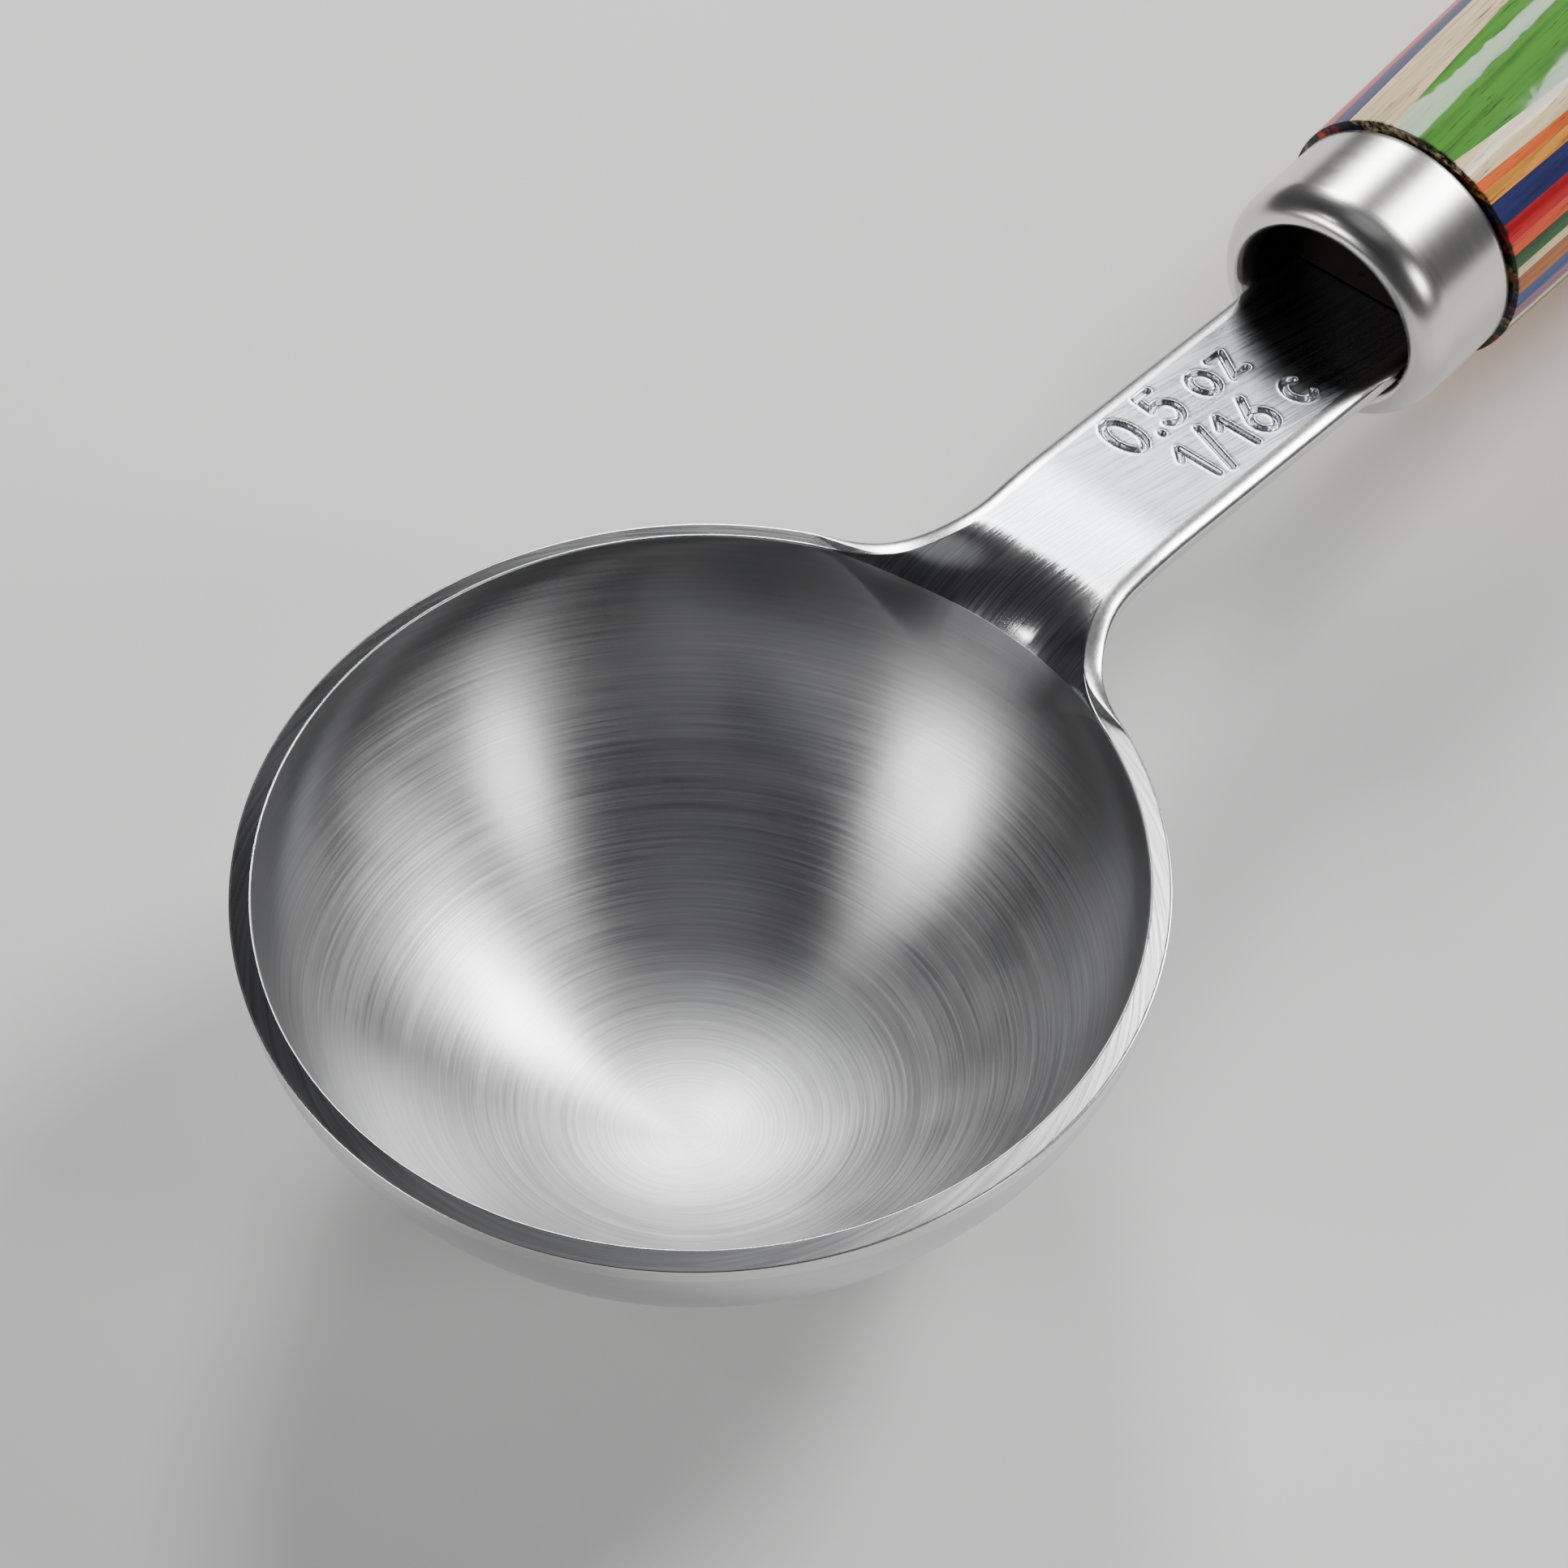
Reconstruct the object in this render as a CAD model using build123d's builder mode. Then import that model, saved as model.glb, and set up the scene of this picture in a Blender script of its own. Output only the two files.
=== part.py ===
from build123d import *
import math
import os

# A one tablespoon (15 ml) measuring spoon: a pressed steel bowl whose flat neck runs through
# a rolled ferrule into a turned handle of dyed plywood. Millimetres, +Z up, the handle
# along +X. Height zero is the lowest point of the bowl, x zero is the middle of the length.

# Driving sizes of the whole spoon
overall_length = 190.0
sheet = 1.1  # one thickness of steel for bowl, neck and tang

# Bowl: a shoulder arc at the rim, tangent to a wide arc across the bottom. The deeper the
# bowl is for its width, the rounder its shoulder.
bowl_radius = 22.3  # outside, at the rim
bowl_depth = 17.8  # from the rim to the outside of the bottom
shoulder_share = 0.908  # of the depth, in a bowl as deep as its radius

# Neck: the flat strap that leaves the rim, with a rounded brow where it leaves
neck_half_width = 4.65
mouth_half_width = 4.75  # where the strap enters the ferrule
neck_length = 27.5  # from the rim to the front of the ferrule
strap_round = 0.5  # along both long edges
brow_share = 0.895  # of the largest bend that the shoulder has room for
brow_least = 0.12  # the same bend where it dies out, at the flares
brow_inside = 0.3  # least bend underneath
brow_tuck = 0.02  # its faces lie this far inside its neighbours' faces,
brow_lap = 0.4  # and it runs this far into them
brow_run = 6.2  # from the rim to where the plain strap starts
brow_steps = 12  # sections that the brow is lofted through, less one
flare_radius = 4.5  # plan fillets between rim and neck
flare_margin = 1  # degrees past the flares
bend_run = 1.8  # from there to the corner of the bend down
bend_share = 0.98  # of that run, taken by the bend

# Tang: the strap's end inside the wood
tang_length = 26.0  # behind the ferrule
tang_corner = 1.5
tang_below_axis = 1.15  # top of the tang, below the axis of the handle
handle_drop = 1.3  # axis of the handle below the rim
slot_clearance = 0.1

# Ferrule: a drawn steel cap with its front rolled inwards
ferrule_radius = 7.0
ferrule_length = 7.4
ferrule_wall = 0.8
mouth_radius = 5.15
lip_crest_radius = 5.7
shoulder_run = 2.0  # from the crest back to the plain cylinder
lip_run = 1.4  # from the crest back to the mouth
ferrule_chamfer = 0.25

# Handle: a long barrel with a domed end
tenon_length = 3.6
tenon_clearance = 0.04
seam_gap = 0.12  # the dark line between ferrule and wood
wood_front_radius = 7.35
wood_belly_radius = 8.15
wood_tail_radius = 6.9
belly_run = 51.0  # from the ferrule to the thickest place
dome_length = 5.0
dome_flat_radius = 0.5  # where the handle was parted from its blank
wood_front_round = 0.3

# Hang hole near the end of the handle
hang_hole_radius = 2.3
hang_hole_setback = 4.0  # centre to where the dome starts
hang_hole_wall = 12.4  # straight wall between the two countersinks

quarter_turn = 90  # degrees

# Dyed veneers, from the top down: lower and upper face as shares of the belly radius.
# Two thin ones meet a thicker one half way across, so these three are half veneers.
ply_tilt = 3.0  # degrees, turned about the handle's axis
ply_face_shares = {
    "ply_01_green": (0.871, 1.05),
    "ply_02_cream": (0.798, 0.871),
    "ply_03_orange_right": (0.761, 0.798),
    "ply_04_amber_right": (0.706, 0.761),
    "ply_05_cream_left": (0.706, 0.798),
    "ply_06_navy": (0.589, 0.706),
    "ply_07_red": (0.481, 0.589),
    "ply_08_orange_red": (0.406, 0.481),
    "ply_09_dark_green": (0.310, 0.406),
    "ply_10_cream": (0.248, 0.310),
    "ply_11_orange_brown": (0.104, 0.248),
    "ply_12_blue": (-0.021, 0.104),
    "ply_13_mauve": (-0.147, -0.021),
    "ply_14_cream": (-0.221, -0.147),
    "ply_15_green": (-0.331, -0.221),
    "ply_16_orange": (-0.417, -0.331),
    "ply_17_red": (-0.520, -0.417),
    "ply_18_navy": (-0.620, -0.520),
    "ply_19_cream": (-0.680, -0.620),
    "ply_20_green": (-0.760, -0.680),
    "ply_21_amber": (-1.05, -0.760),
}

overrun = 1.0  # how far a cut passes what it cuts

# Places worked out from the sizes
rim_z = bowl_depth
bowl_x = bowl_radius - overall_length / 2
handle_end = overall_length / 2
axis_z = rim_z - handle_drop
tang_z = axis_z - tang_below_axis
brow_end = bowl_x + bowl_radius + brow_run
bend_x = brow_end + bend_run
ferrule_front = bowl_x + bowl_radius + neck_length
ferrule_back = ferrule_front + ferrule_length
mouth_x = ferrule_front + lip_run
tang_end = ferrule_back + tang_length
tenon_front = ferrule_back - tenon_length
wood_front = ferrule_back + seam_gap
belly_x = ferrule_back + belly_run
dome_flat_turn = math.degrees(math.asin(dome_flat_radius / wood_tail_radius))
dome_x = handle_end - dome_length * math.cos(math.radians(dome_flat_turn))
shoulder_radius = shoulder_share * bowl_depth * (bowl_depth / bowl_radius) ** 2
inner_shoulder = shoulder_radius - sheet
shoulder_centre = bowl_radius - shoulder_radius
neck_slope = math.atan2(rim_z - tang_z, mouth_x - bend_x)
neck_bend_radius = bend_share * bend_run / math.tan(neck_slope / 2)
bore_radius = ferrule_radius - ferrule_wall
tenon_radius = bore_radius - tenon_clearance
above_all = wood_belly_radius + overrun


def in_plane(radius, degrees):
    """A point on an arc, as lengths along and across from the arc's centre."""
    turn = math.radians(degrees)
    return (radius * math.cos(turn), radius * math.sin(turn))


def along(centre, radius, degrees):
    """A point on an arc about a centre."""
    return tuple(c + p for c, p in zip(centre, in_plane(radius, degrees)))


def angle_from(centre, point):
    """The direction from a centre to a point, in degrees."""
    return math.degrees(math.atan2(point[1] - centre[1], point[0] - centre[0]))


def arc_between(centre, radius, start, end):
    """An arc of under a half circle about a centre, from point to point."""
    middle = (angle_from(centre, start) + angle_from(centre, end)) / 2
    return ThreePointArc(start, along(centre, radius, middle), end)


# Bowl: in its half section the first length is the radius, the second the height. The
# base arc is centred on the bowl's axis and meets the shoulder arc where both are tangent.
base_radius = (shoulder_centre**2 + bowl_depth**2 - shoulder_radius**2) / (
    2 * (bowl_depth - shoulder_radius)
)
shoulder_at = (shoulder_centre, rim_z)
base_at = (0, base_radius)
meet_angle = angle_from(base_at, shoulder_at)
outer_meet = along(base_at, base_radius, meet_angle)
inner_meet = along(base_at, base_radius - sheet, meet_angle)
bowl_axis = Axis((bowl_x, 0, 0), (0, 0, 1))
meet_sine = -math.sin(math.radians(meet_angle))
brow_radius = brow_share * inner_shoulder * meet_sine / (1 - meet_sine)
plan_radius = bowl_radius - brow_tuck
plan_half_width = neck_half_width - brow_tuck
rim_turn = flare_margin + math.degrees(
    math.asin((plan_half_width + flare_radius) / (plan_radius + flare_radius))
)
brow_turn = rim_turn + math.degrees(brow_lap / bowl_radius)


def half_plane(turn):
    """The upright plane from the bowl's axis outwards, turned from the neck by some degrees."""
    outward = (*in_plane(1, turn), 0)
    facing = (*in_plane(1, turn - quarter_turn), 0)
    return Plane(origin=(bowl_x, 0, 0), x_dir=outward, z_dir=facing)


def roll_over(shoulder, bend, top):
    """Where an outward bend with its top at a height is centred, and where it leaves the shoulder."""
    down = rim_z - top + bend
    centre = (
        shoulder_centre + math.sqrt((shoulder + bend) ** 2 - down**2),
        rim_z - down,
    )
    leave = along(shoulder_at, shoulder, angle_from(shoulder_at, centre))
    return centre, leave


def brow_section(turn):
    """The sheet where it rolls over from the bowl's wall into the neck, in one half plane."""
    fade = math.cos(math.radians(quarter_turn * turn / brow_turn)) ** 2
    over = brow_least + (brow_radius - brow_least) * fade
    under = max(over - sheet, brow_inside)
    top = rim_z - brow_tuck
    bottom = rim_z - sheet + brow_tuck
    inner = inner_shoulder + brow_tuck
    outer = shoulder_radius - brow_tuck
    over_at, over_leave = roll_over(inner, over, top)
    under_at, under_leave = roll_over(outer, under, bottom)
    end = (brow_end + brow_lap - bowl_x) / math.cos(math.radians(turn))
    low_turn = meet_angle - math.degrees(brow_lap / outer)
    low_inner = along(shoulder_at, inner, low_turn)
    low_outer = along(shoulder_at, outer, low_turn)
    with BuildSketch(half_plane(turn)) as section:
        with BuildLine():
            arc_between(shoulder_at, inner, low_inner, over_leave)
            arc_between(over_at, over, over_leave, (over_at[0], top))
            Polyline((over_at[0], top), (end, top), (end, bottom), (under_at[0], bottom))
            arc_between(under_at, under, (under_at[0], bottom), under_leave)
            arc_between(shoulder_at, outer, under_leave, low_outer)
            Line(low_outer, low_inner)
        make_face()
    return section.sketch


# The strap: a band of even thickness that slopes down to the ferrule, levels out at its
# mouth and runs on as the tang, cut to its outline and rounded along both long edges.
with BuildPart() as strap:
    with BuildSketch(Plane.XZ):
        with BuildLine():
            path = FilletPolyline(
                (brow_end, rim_z - sheet / 2),
                (bend_x, rim_z - sheet / 2),
                (mouth_x, tang_z - sheet / 2),
                (tang_end, tang_z - sheet / 2),
                radius=neck_bend_radius,
            )
        trace(path, line_width=sheet)
    extrude(amount=bowl_radius, both=True)
    with BuildSketch() as strap_outline:
        with BuildLine():
            Polyline(
                (brow_end, -neck_half_width),
                (mouth_x, -mouth_half_width),
                (tang_end, -mouth_half_width),
                (tang_end, mouth_half_width),
                (mouth_x, mouth_half_width),
                (brow_end, neck_half_width),
                close=True,
            )
        make_face()
        fillet(strap_outline.vertices().group_by(Axis.X)[-1], radius=tang_corner)
    extrude(amount=rim_z + overrun, mode=Mode.INTERSECT)
    long_edges = [
        edge
        for edge in strap.edges()
        if edge.length > sheet and abs(edge.center().Y) > neck_half_width / 2
        and abs(edge.tangent_at(0).Z) < 1 / 2
    ]
    fillet(long_edges, radius=strap_round)

# Bowl and neck are pressed from one sheet. The brow is lofted through half planes about
# the bowl's axis, its bend fading from the middle of the neck out to the two flares.
with BuildPart() as bowl_and_neck:
    for step in range(brow_steps + 1):
        add(brow_section(brow_turn * (2 * step / brow_steps - 1)))
    loft()
    with BuildSketch() as plan:
        with Locations((bowl_x, 0)):
            Circle(plan_radius)
            Rectangle(
                brow_end + overrun - bowl_x,
                2 * plan_half_width,
                align=(Align.MIN, Align.CENTER),
            )
        inside_corners = [
            corner
            for corner in plan.vertices()
            if abs(Vector(corner.X - bowl_x, corner.Y).length - plan_radius) < brow_tuck
        ]
        fillet(inside_corners, radius=flare_radius)
    extrude(amount=rim_z + overrun, mode=Mode.INTERSECT)
    with BuildSketch(half_plane(0)):
        with BuildLine():
            arc_between(base_at, base_radius, (0, 0), outer_meet)
            Line(outer_meet, inner_meet)
            arc_between(base_at, base_radius - sheet, inner_meet, (0, sheet))
            Line((0, sheet), (0, 0))
        make_face()
    revolve(axis=bowl_axis)
    with BuildSketch(half_plane(rim_turn)):
        with BuildLine():
            arc_between(shoulder_at, shoulder_radius, outer_meet, (bowl_radius, rim_z))
            Line((bowl_radius, rim_z), (bowl_radius - sheet, rim_z))
            arc_between(shoulder_at, inner_shoulder, (bowl_radius - sheet, rim_z), inner_meet)
            Line(inner_meet, outer_meet)
        make_face()
    revolve(axis=bowl_axis, revolution_arc=4 * quarter_turn - 2 * rim_turn)
    add(strap.part)

# Ferrule: drawn steel, its front rolled in to a rounded lip around the mouth
along_handle = Plane(origin=(0, 0, axis_z), x_dir=(1, 0, 0), z_dir=(0, -1, 0))
handle_axis = Axis((0, 0, axis_z), (1, 0, 0))
shoulder_end = ferrule_front + shoulder_run
with BuildPart() as ferrule:
    with BuildSketch(along_handle):
        with BuildLine():
            EllipticalCenterArc(
                (shoulder_end, lip_crest_radius),
                shoulder_run,
                ferrule_radius - lip_crest_radius,
                start_angle=quarter_turn,
                arc_size=quarter_turn,
            )
            EllipticalCenterArc(
                (mouth_x, lip_crest_radius),
                lip_run,
                lip_crest_radius - mouth_radius,
                start_angle=2 * quarter_turn,
                arc_size=quarter_turn,
            )
            Polyline(
                (mouth_x, mouth_radius),
                (mouth_x + ferrule_wall / 2, mouth_radius),
                (shoulder_end + ferrule_wall, bore_radius),
                (ferrule_back, bore_radius),
                (ferrule_back, ferrule_radius - ferrule_chamfer),
                (ferrule_back - ferrule_chamfer, ferrule_radius),
                (shoulder_end, ferrule_radius),
            )
        make_face()
    revolve(axis=handle_axis)

# Handle: one turned barrel, then each veneer is the slice of it between two flat faces
with BuildPart() as turned_handle:
    with BuildSketch(along_handle) as barrel:
        with BuildLine():
            front = (wood_front, wood_front_radius)
            belly = (belly_x, wood_belly_radius)
            tail = (dome_x, wood_tail_radius)
            dome = EllipticalCenterArc(
                (dome_x, 0),
                dome_length,
                wood_tail_radius,
                start_angle=dome_flat_turn,
                arc_size=quarter_turn - dome_flat_turn,
            )
            Polyline(
                front,
                (wood_front, tenon_radius),
                (tenon_front, tenon_radius),
                (tenon_front, 0),
                (handle_end, 0),
                dome @ 0,
            )
            TangentArc(belly, front, tangent=(-1, 0))
            TangentArc(belly, tail, tangent=(1, 0))
        make_face()
        corners = barrel.vertices().sort_by_distance((wood_front, 0, axis_z + wood_front_radius))
        fillet(corners[0], radius=wood_front_round)
    revolve(axis=handle_axis)
    with BuildSketch(Plane.YZ.offset(tenon_front - overrun)):
        with Locations((0, tang_z - sheet / 2)):
            Rectangle(
                2 * (mouth_half_width + slot_clearance), sheet + 2 * slot_clearance
            )
    extrude(amount=tang_end + slot_clearance - tenon_front + overrun, mode=Mode.SUBTRACT)
    hole_x = dome_x - hang_hole_setback
    flare_height = above_all - hang_hole_wall / 2
    with BuildSketch(Plane(origin=(hole_x, 0, axis_z), x_dir=(1, 0, 0), z_dir=(0, -1, 0))):
        with BuildLine():
            Polyline(
                (0, -above_all),
                (hang_hole_radius + flare_height, -above_all),
                (hang_hole_radius, -hang_hole_wall / 2),
                (hang_hole_radius, hang_hole_wall / 2),
                (hang_hole_radius + flare_height, above_all),
                (0, above_all),
                close=True,
            )
        make_face()
    revolve(axis=Axis((hole_x, 0, 0), (0, 0, 1)), mode=Mode.SUBTRACT)

ply_normal = (0, *in_plane(1, quarter_turn + ply_tilt))
ply_plane = Plane(origin=(0, 0, axis_z), x_dir=(1, 0, 0), z_dir=ply_normal)
half_span = {"right": Align.MAX, "left": Align.MIN}
pieces = {"bowl_and_neck": bowl_and_neck, "ferrule": ferrule}
for name, (lower_share, upper_share) in ply_face_shares.items():
    lower_face = lower_share * wood_belly_radius
    upper_face = upper_share * wood_belly_radius
    side = half_span.get(name.split("_")[-1], Align.CENTER)
    with BuildPart() as ply:
        add(turned_handle.part)
        with BuildSketch(ply_plane.offset(lower_face)):
            Rectangle(2 * overall_length, 2 * above_all, align=(Align.CENTER, side))
        extrude(amount=upper_face - lower_face, mode=Mode.INTERSECT)
    pieces[name] = ply

os.makedirs("parts", exist_ok=True)
for name, piece in pieces.items():
    piece.part.label = name
    export_step(piece.part, f"parts/{name}.step")
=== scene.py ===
# %% [markdown]
# A tablespoon measure in Blender. The solid parts come from the packed model and fix every
# size and place. This script dresses them: a fine steel mesh for the bowl and its neck, a
# spun steel ferrule, and stained, lacquered wood for the veneers of the handle.
# The first cell loads the parts. Each later cell adds one thing and prints what it made.

# %% Load the parts
import math

import bmesh
import bpy
import numpy as np
from mathutils import Matrix, Vector


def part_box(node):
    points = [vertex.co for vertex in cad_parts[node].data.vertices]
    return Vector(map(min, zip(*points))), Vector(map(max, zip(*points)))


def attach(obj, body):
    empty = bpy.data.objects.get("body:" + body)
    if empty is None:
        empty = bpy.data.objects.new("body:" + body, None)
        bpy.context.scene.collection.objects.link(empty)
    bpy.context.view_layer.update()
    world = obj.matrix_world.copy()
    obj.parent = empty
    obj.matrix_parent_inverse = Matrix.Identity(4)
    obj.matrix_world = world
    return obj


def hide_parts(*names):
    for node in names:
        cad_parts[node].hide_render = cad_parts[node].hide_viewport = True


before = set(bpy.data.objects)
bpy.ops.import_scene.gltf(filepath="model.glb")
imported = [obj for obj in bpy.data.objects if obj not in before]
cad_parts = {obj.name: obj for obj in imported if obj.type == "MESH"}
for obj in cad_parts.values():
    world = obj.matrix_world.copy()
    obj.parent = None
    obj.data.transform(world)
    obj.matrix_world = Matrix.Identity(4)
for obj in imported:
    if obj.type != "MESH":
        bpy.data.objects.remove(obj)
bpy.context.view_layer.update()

MM = 0.001
print("parts:", len(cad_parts))

# %% [markdown]
# A maker works in millimetres from the middle of the bowl's rim: x runs along the handle, y
# to the side, z up. The main sizes could be typed in again, but then a change to the model
# would leave the steel behind. So they are read from the boxes of the parts.

# %% Sizes read from the parts
spoon_low, spoon_high = (np.array(corner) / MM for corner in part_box("bowl_and_neck"))
ferrule_low, ferrule_high = (np.array(corner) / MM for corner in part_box("ferrule"))
BOWL_RADIUS = (spoon_high[1] - spoon_low[1]) / 2
BOWL_DEPTH = spoon_high[2] - spoon_low[2]
RIM = np.array([spoon_low[0] + BOWL_RADIUS, 0.0, spoon_high[2]])
TANG_END = spoon_high[0] - RIM[0]
FERRULE_FRONT = ferrule_low[0] - RIM[0]
FERRULE_BACK = ferrule_high[0] - RIM[0]
FERRULE_RADIUS = (ferrule_high[1] - ferrule_low[1]) / 2
AXIS_DROP = RIM[2] - (ferrule_high[2] + ferrule_low[2]) / 2
print("bowl across", 2 * BOWL_RADIUS, "deep", BOWL_DEPTH, "handle axis down", AXIS_DROP)

# %% [markdown]
# Both steel pieces are laid out as rows of points. Modifiers could round and thicken a coarse
# cage, but they give little say over a crisp rim next to a soft bend. A grid of points puts
# every one where it belongs. Grids that share an edge are welded into one closed mesh.

# %% Helpers for meshes made of rows
WELD = 0.002  # points nearer than this become one


class Rows:
    """Collects grids of points and welds them into one mesh, each grid with a finish number."""

    def __init__(self):
        self.points = []
        self.faces = []
        self.finish = []

    def grid(self, points, finish=0, closed=False):
        """Adds rows of points joined by quads. A closed grid joins its last row to its first."""
        points = np.asarray(points, dtype=float)
        count = sum(len(p) for p in self.points)
        rows, columns = points.shape[:2]
        self.points.append(points.reshape(-1, 3))
        index = np.arange(rows * columns).reshape(rows, columns) + count
        if closed:
            index = np.vstack([index, index[:1]])
        quads = np.stack(
            [index[:-1, :-1], index[1:, :-1], index[1:, 1:], index[:-1, 1:]], axis=-1
        ).reshape(-1, 4)
        self.faces.append(quads)
        self.finish += [finish] * len(quads)

    def piece(self, name):
        """Makes the object, closes what is open and lets it ride on the part's root."""
        points = (np.vstack(self.points) + RIM) * MM
        quads = np.vstack(self.faces)
        mesh = bpy.data.meshes.new(name)
        mesh.from_pydata(points.tolist(), [], quads.tolist())
        mesh.polygons.foreach_set("material_index", self.finish)
        work = bmesh.new()
        work.from_mesh(mesh)
        bmesh.ops.remove_doubles(work, verts=work.verts, dist=WELD * MM)
        open_edges = [edge for edge in work.edges if edge.is_boundary]
        if open_edges:
            bmesh.ops.holes_fill(work, edges=open_edges, sides=0)
        bmesh.ops.recalc_face_normals(work, faces=work.faces)
        work.to_mesh(mesh)
        work.free()
        mesh.polygons.foreach_set("use_smooth", [True] * len(mesh.polygons))
        thing = bpy.data.objects.new(name, mesh)
        bpy.context.scene.collection.objects.link(thing)
        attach(thing, "root")
        print(name, "has", len(mesh.polygons), "faces")
        return thing


def arc(centre, radius, start, end, count):
    """Points on a circle from one angle to another, in degrees."""
    turn = np.radians(np.linspace(start, end, count))
    return np.stack([centre[0] + radius * np.cos(turn), centre[1] + radius * np.sin(turn)], -1)


def smooth(value, low, high):
    """Eases from 0 to 1 as the value passes a range."""
    share = np.clip((value - low) / (high - low), 0.0, 1.0)
    return share * share * (3 - 2 * share)


print("points in a quarter circle of five:", arc((0, 0), 1, 0, 90, 5).round(2).tolist())

# %% [markdown]
# The bowl and its neck are one pressed sheet. A cut through the axis of the bowl shows a wide
# arc across the bottom, a tighter one up the shoulder, and then one of two ends. Most of the
# way round it is a ground rim that slopes a little outwards. Towards the neck it is the brow:
# the sheet rolls over and runs out level. Two flares lead from the rim into the neck.

# %% Sizes of the pressed sheet
SHEET = 1.1  # thickness
SHOULDER = 10.3  # outer radius of the shoulder
SHOULDER_AT = BOWL_RADIUS - SHOULDER
INSIDE = SHOULDER - SHEET
BASE = (SHOULDER_AT**2 + BOWL_DEPTH**2 - SHOULDER**2) / (2 * (BOWL_DEPTH - SHOULDER))
BASE_UP = BASE - BOWL_DEPTH
MEET = -math.degrees(math.atan2(BASE_UP, SHOULDER_AT))  # where the two arcs meet
print("base radius", round(BASE, 2), "meets the shoulder at", round(MEET, 1), "degrees")

# %% [markdown]
# Seen from above, the outline is a circle, a flare and a straight neck. A ray from the bowl's
# axis at any angle, or turn, has to know where it leaves the sheet, and which way the edge
# faces there. The neck counts as open in its middle: there a ray runs on into the strap.

# %% Outline seen from above
NECK_HALF = 4.8  # half the width of the neck at the bowl
FLARE = 8.5  # radius of a flare
FLARE_X = math.sqrt((BOWL_RADIUS + FLARE) ** 2 - (NECK_HALF + FLARE) ** 2)
FLARE_Y = NECK_HALF + FLARE
FLARE_TURN = math.degrees(math.asin(FLARE_Y / (BOWL_RADIUS + FLARE)))
TOP_EDGE = 0.95  # how wide the long edges of the neck are rounded above
STRAP_START = 28.5
OPEN_TURN = math.degrees(math.atan2(NECK_HALF - TOP_EDGE, STRAP_START))
LEAST_TURN = 0.3  # a ray along the neck itself would never meet its edge


def outline(turn, inset):
    """Where a ray from the bowl's axis meets the outline, drawn in by the inset, and its normal."""
    turn = math.radians(max(turn, LEAST_TURN))
    ray = np.array([math.cos(turn), math.sin(turn)])
    if turn >= math.radians(FLARE_TURN):
        return (BOWL_RADIUS - inset) * ray, ray
    if (NECK_HALF - inset) / math.tan(turn) >= FLARE_X:
        reach = (NECK_HALF - inset) / math.sin(turn)
        return reach * ray, np.array([0.0, 1.0])
    centre = np.array([FLARE_X, FLARE_Y])
    middle = centre @ ray
    reach = middle - math.sqrt(middle**2 - centre @ centre + (FLARE + inset) ** 2)
    return reach * ray, (centre - reach * ray) / (FLARE + inset)


print("flares end at", round(FLARE_TURN, 1), "degrees, neck open up to", round(OPEN_TURN, 1))

# %% [markdown]
# The brow is the part that takes most skill. A press draws the wall up and over, and the bend
# gets tighter towards the flares, where there is less room for it. So the radius is worked out
# for each turn: the full bend in the middle, and less where the outline comes near. Beside the
# flares the sheet dips a little before it ends, which keeps the bend from pinching shut.

# %% Brow and edges at a turn
BROW = 6.8  # radius of the bend into the neck
BLEND = 2.6  # degrees over which neighbours share their bend
DIP = 0.6  # how far the brow runs down beside the flares
DIP_FROM, DIP_FULL, DIP_EASES, DIP_GONE = 6.0, 10.5, 13.0, 26.0  # in degrees
FLAT_TURN = 14.5  # up to here the edge is that of the neck
RIM_TURN = FLARE_TURN + 1.5  # from here on the rim is plain
RIM_EDGE = 0.1  # rounding of the ground rim
LOW_EDGE = 0.3  # rounding of the neck below
STRAP_FLAT = 0.02  # the flat left beside the rounded edge of the neck
HAIR = 1e-4  # keeps the smallest arc from shrinking to nothing


def brow_reach(brow):
    """How far from the shoulder's centre a brow of this radius comes up level."""
    return math.sqrt((INSIDE + brow) ** 2 - brow**2)


RIM_FLAT = BOWL_RADIUS - RIM_EDGE - SHOULDER_AT - brow_reach(RIM_EDGE)


def least(first, second):
    """The smaller of two, blended where they are close."""
    return (first**-3 + second**-3) ** (-1 / 3)


def edges(side):
    """Share of the plain rim, rounding of the upper and lower edge, and the flat inside them."""
    rim = smooth(side, FLAT_TURN, RIM_TURN)
    top_edge = TOP_EDGE + (RIM_EDGE - TOP_EDGE) * rim
    low_edge = LOW_EDGE * (1 - rim) + HAIR
    return rim, top_edge, low_edge, STRAP_FLAT + (RIM_FLAT - STRAP_FLAT) * rim


def brow_fit(side):
    """The largest brow that dips only a little before it meets the outline."""
    _, top_edge, _, flat = edges(side)
    reach = np.linalg.norm(outline(side, top_edge)[0]) - flat - SHOULDER_AT
    dip = DIP * smooth(side, DIP_FROM, DIP_FULL) * (1 - smooth(side, DIP_EASES, DIP_GONE))
    fit = (reach**2 - INSIDE**2) / (2 * INSIDE)
    for _ in range(40):
        over = math.sqrt(max(2 * fit * dip - dip**2, 0.0))
        fit = ((reach + over) ** 2 - INSIDE**2) / (2 * INSIDE)
    return least(BROW, fit)


def brow_at(side):
    """The bend at a turn, evened out with its neighbours so that no crease is left."""
    spread = min(BLEND, max(0.0, 0.45 * (side - 3.0)), max(0.0, 0.5 * (30.0 - side)))
    return np.mean([brow_fit(side + shift) for shift in np.linspace(-spread, spread, 9)])


print("brow in the middle", round(brow_at(0), 2), "at the flares", round(brow_at(15), 2))
print("flat of the rim", round(RIM_FLAT, 2))

# %% [markdown]
# A lathe shape can't carry the brow, and a subdivided cage would blur the crisp rim. So each
# half plane about the bowl's axis gets its own curve: along the top, round the cut edge and
# back below. Every curve has the same number of points, so that neighbours join into quads.

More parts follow.
